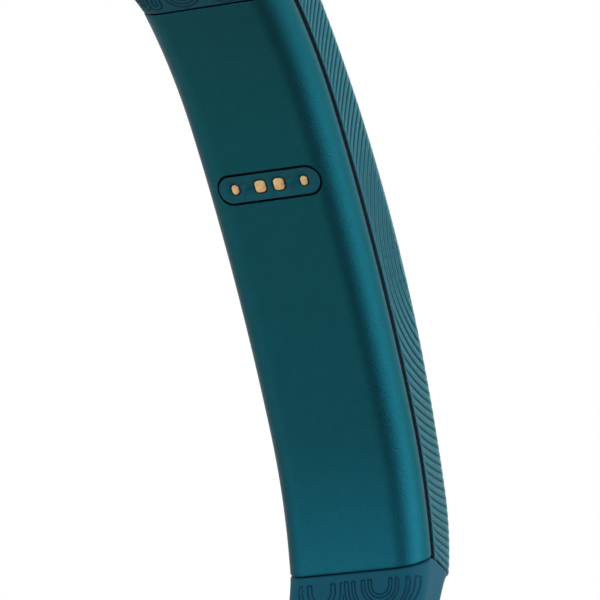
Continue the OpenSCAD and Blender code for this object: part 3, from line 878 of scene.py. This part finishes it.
def strap_body_mesh(name, run, s_first, s_last):
    stations = list(np.linspace(s_first, s_last, int((s_last - s_first) / 0.5)))
    rings = []
    for s in stations:
        p, a = strap_frame(s, run)
        out = bearing(a)
        ring = []
        for d, z, _ in section(STRAP_T, STRAP_W, STRAP_EDGE, STRAP_EDGE, 24, 7, 4, 24):
            q = p + d * out
            ring.append((run["sign"] * q[0], q[1], MID_Z + z))
        rings.append(ring)
    return tube(name, rings, smooth_angle=math.radians(50))


def hinge_span(run, s, reach):
    """Points before and after a hinge, in the middle of the strap."""
    return strap_spot(s - reach, STRAP_T / 2, MID_Z, run), strap_spot(s + reach, STRAP_T / 2, MID_Z, run)


# where the two skins of a strap meet
SKINS_MEET = 16.0
for label, run, last, motifs in (("long", LONG, 104.0, LONG_ARCHES), ("short", SHORT, 62.0, SHORT_ARCHES)):
    root = strap_root_mesh(f"{label}_strap_base", run, SKINS_MEET, motifs)
    dress(root, "rubber", None, f"{label}_strap_root")
    start, end = hinge_span(run, 8.5, 3.6)
    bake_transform(root)
    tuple(start)
    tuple(end)
    body = strap_body_mesh(f"{label}_strap_run", run, SKINS_MEET, last)
    dress(body, "rubber", None, f"{label}_strap_a", f"{label}_strap_b")
    start, end = hinge_span(run, 24.0, 4.5)
    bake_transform(body)
    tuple(start)
    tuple(end)

# ---- clasp: the CAD's own shapes with their edges broken ----------------------------------------

def softened(name, node_name, width):
    """A copy of a CAD piece whose long sharp edges are rounded by width."""
    mesh = bpy.data.meshes.new(name)
    bm = bmesh.new()
    bm.from_mesh(NODES[node_name].data)
    bmesh.ops.remove_doubles(bm, verts=bm.verts, dist=0.002 * MM)
    bmesh.ops.dissolve_limit(bm, angle_limit=math.radians(1), verts=bm.verts, edges=bm.edges)
    long_edges = [e for e in bm.edges if len(e.link_faces) == 2 and e.calc_length() > 5 * width * MM]
    sharp = [e for e in long_edges if e.calc_face_angle() > math.radians(50)]
    bmesh.ops.bevel(bm, geom=sharp, offset=width * MM, offset_type="OFFSET", segments=3, profile=0.5,
                    affect="EDGES", clamp_overlap=True)
    bm.to_mesh(mesh)
    bm.free()
    mesh.shade_smooth()
    mesh.set_sharp_from_angle(angle=math.radians(20))
    obj = bpy.data.objects.new(name, mesh)
    bpy.context.scene.collection.objects.link(obj)
    return obj


for name, node_name, width, body in (
    ("slider_housing", "slider_frame", 0.14, "slider"),
    ("locking_lever", "slider_lever", 0.1, "lever"),
    ("hook_fitting", "hook_plate", 0.14, "short_far"),
    ("tail_fitting", "tail_stop", 0.14, "long_far"),
):
    dress(softened(name, node_name, width), "clasp", body, node_name)

# ---- stage and light ----------------------------------------------------------------------

# the floor is white to the camera only: all other light passes through it
floor_mesh = bpy.data.meshes.new("floor")
floor_mesh.from_pydata([(-3, -3, 0), (3, -3, 0), (3, 3, 0), (-3, 3, 0)], [], [(0, 1, 2, 3)])
floor = bpy.data.objects.new("floor", floor_mesh)
bpy.context.scene.collection.objects.link(floor)
floor_mat = bpy.data.materials.new("pale_floor")
floor_mat.use_nodes = True
nt = floor_mat.node_tree
nt.nodes.clear()
out = nt.nodes.new("ShaderNodeOutputMaterial")
mix = nt.nodes.new("ShaderNodeMixShader")
path = nt.nodes.new("ShaderNodeLightPath")
white = nt.nodes.new("ShaderNodeEmission")
white.inputs["Color"].default_value = (1, 1, 1, 1)
white.inputs["Strength"].default_value = 1.0
pale = nt.nodes.new("ShaderNodeBsdfTransparent")
nt.links.new(path.outputs["Is Camera Ray"], mix.inputs["Fac"])
nt.links.new(pale.outputs["BSDF"], mix.inputs[1])
nt.links.new(white.outputs["Emission"], mix.inputs[2])
nt.links.new(mix.outputs["Shader"], out.inputs["Surface"])
floor_mesh.materials.append(floor_mat)

# light that reaches the object: (direction, tightness, colour). All but the last come from a
# separate program's fit to the photograph's colours, rounded, some colours then changed by hand
LOBES = [
    ((0, 0, 1), 0.0, (0.16, 0.07, 0.08)),
    ((-0.15, -1.0, 0.12), 5.0, (1.15, 1.6, 1.65)),
    ((0.0, 0.05, 1.0), 6.0, (1.2, 1.9, 2.1)),
    ((0.4, 0.2, 0.9), 15.0, (2.2, 1.75, 2.8)),
    ((0.3, 0.3, -0.9), 26.0, (0.2, 0.44, 0.8)),
    ((0.66, 0.6, -0.46), 9.0, (1.5, 2.1, 2.6)),
    ((-0.35, 0.75, -0.57), 16.0, (0.75, 0.8, 0.77)),
    ((-0.56, -0.42, -0.7), 2.0, (0.84, 0.67, 0.62)),
    ((-0.85, -0.5, 0.2), 6.0, (1.0, 0.15, 0.15)),
]

world = bpy.data.worlds.new("studio")
bpy.context.scene.world = world
world.use_nodes = True
wt = world.node_tree
wt.nodes.clear()
wout = wt.nodes.new("ShaderNodeOutputWorld")
wmix = wt.nodes.new("ShaderNodeMixShader")
wpath = wt.nodes.new("ShaderNodeLightPath")
dim = wt.nodes.new("ShaderNodeBackground")
wcoord = wt.nodes.new("ShaderNodeTexCoord")


def lobe(direction, tightness, color):
    """A soft patch of light round a direction, as a colour socket."""
    d = Vector(direction).normalized()
    dot = wt.nodes.new("ShaderNodeVectorMath")
    dot.operation = "DOT_PRODUCT"
    dot.inputs[1].default_value = d
    wt.links.new(wcoord.outputs["Generated"], dot.inputs[0])
    fall = wt.nodes.new("ShaderNodeMath")
    fall.operation = "MULTIPLY_ADD"
    fall.inputs[1].default_value = tightness
    fall.inputs[2].default_value = -tightness
    wt.links.new(dot.outputs["Value"], fall.inputs[0])
    power = wt.nodes.new("ShaderNodeMath")
    power.operation = "EXPONENT"
    wt.links.new(fall.outputs["Value"], power.inputs[0])
    scale = wt.nodes.new("ShaderNodeVectorMath")
    scale.operation = "SCALE"
    scale.inputs[0].default_value = color
    wt.links.new(power.outputs["Value"], scale.inputs["Scale"])
    return scale.outputs["Vector"]


total = None
for direction, tightness, color in LOBES:
    part = lobe(direction, tightness, color)
    if total is None:
        total = part
    else:
        add = wt.nodes.new("ShaderNodeVectorMath")
        wt.links.new(total, add.inputs[0])
        wt.links.new(part, add.inputs[1])
        total = add.outputs["Vector"]
wt.links.new(total, dim.inputs["Color"])
bright = wt.nodes.new("ShaderNodeBackground")
bright.inputs["Color"].default_value = (1, 1, 1, 1)
bright.inputs["Strength"].default_value = 1.0
wt.links.new(wpath.outputs["Is Camera Ray"], wmix.inputs["Fac"])
wt.links.new(dim.outputs["Background"], wmix.inputs[1])
wt.links.new(bright.outputs["Background"], wmix.inputs[2])
wt.links.new(wmix.outputs["Shader"], wout.inputs["Surface"])


def softbox(name, place, aim, size, radiance):
    """A plain white rectangular light of the given radiance, not seen by the camera."""
    data = bpy.data.lights.new(name, "AREA")
    data.shape = "RECTANGLE"
    data.size, data.size_y = size
    data.energy = radiance * math.pi * size[0] * size[1]
    light = bpy.data.objects.new(name, data)
    bpy.context.scene.collection.objects.link(light)
    back = (Vector(place) - Vector(aim)).normalized()
    light.matrix_world = Matrix.Translation(place) @ back.to_track_quat("Z", "Y").to_matrix().to_4x4()
    light.visible_camera = False


softbox("top_light", (0.05, -0.05, 0.9), (0.0, 0.02, 0.0), (0.6, 0.6), 0.4)
